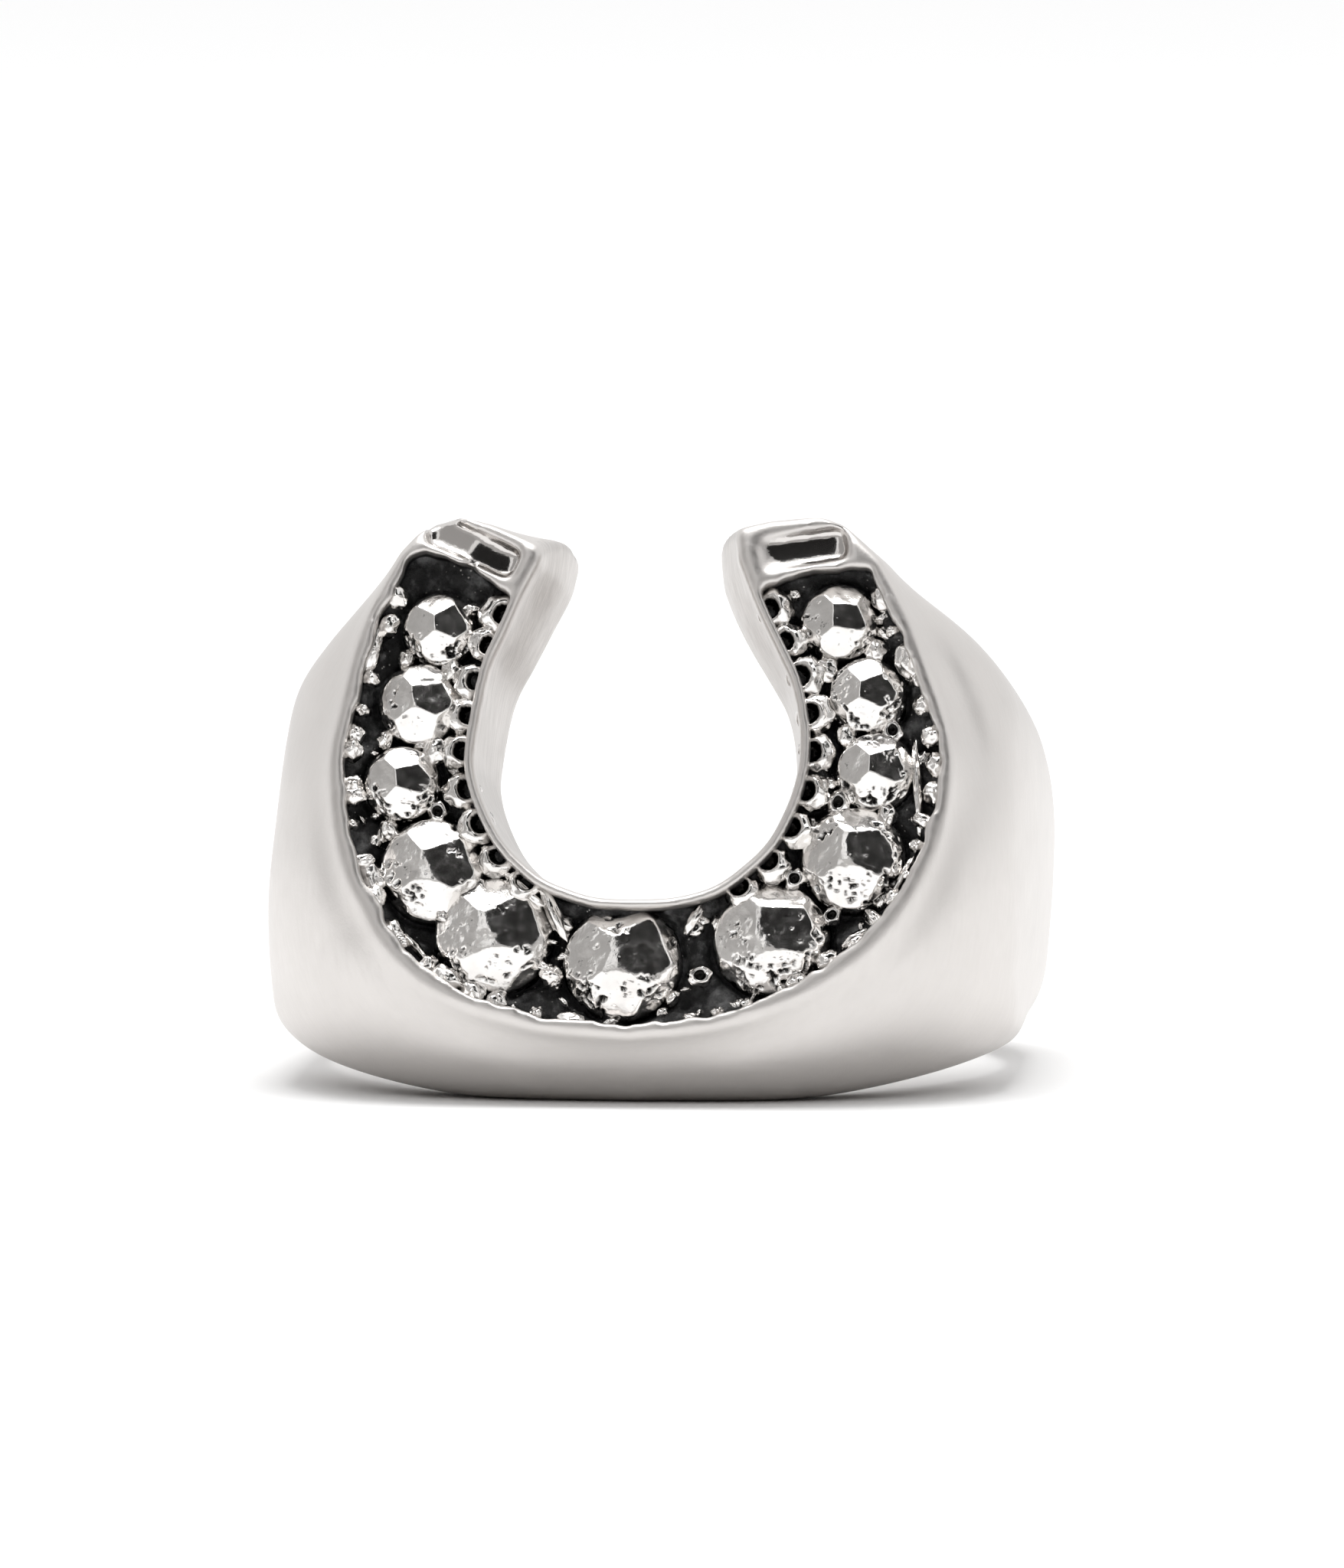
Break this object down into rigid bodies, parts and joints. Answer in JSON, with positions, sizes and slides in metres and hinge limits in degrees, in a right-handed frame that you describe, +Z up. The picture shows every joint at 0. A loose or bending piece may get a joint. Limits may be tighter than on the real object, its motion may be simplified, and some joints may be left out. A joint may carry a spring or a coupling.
{
  "type": "horseshoe ring",
  "caption": "Finger ring with a horseshoe-shaped face: an open middle, a sunk black channel and faceted stones set between its rims.",
  "frame": {"origin": "bottom centre of the ring's box, on the surface it lies on", "axes": "+Z up; the ring leans back on its shank, the horseshoe's face looks towards -Y and slightly up, +X to the viewer's right"},
  "size_m": [0.0238, 0.027, 0.0173],
  "materials": {
    "silver": "satin cast metal with an even fine grain",
    "bead_silver": "bright metal with darkened hollows",
    "stone": "polished metallic facets with darkened pits",
    "enamel": "black, uneven and slightly glossy"
  },
  "bodies": {
    "root": {"ring_body": "silver", "channel_enamel": "enamel", "inner_beads": "bead_silver", "outer_beads": "bead_silver", "setting_grains": "bead_silver", "stone_toe": "stone", "stone_right_1": "stone", "stone_left_1": "stone", "stone_right_2": "stone", "stone_left_2": "stone", "stone_right_3": "stone", "stone_left_3": "stone", "stone_right_4": "stone", "stone_left_4": "stone", "stone_right_5": "stone", "stone_left_5": "stone"}
  },
  "joints": []
}
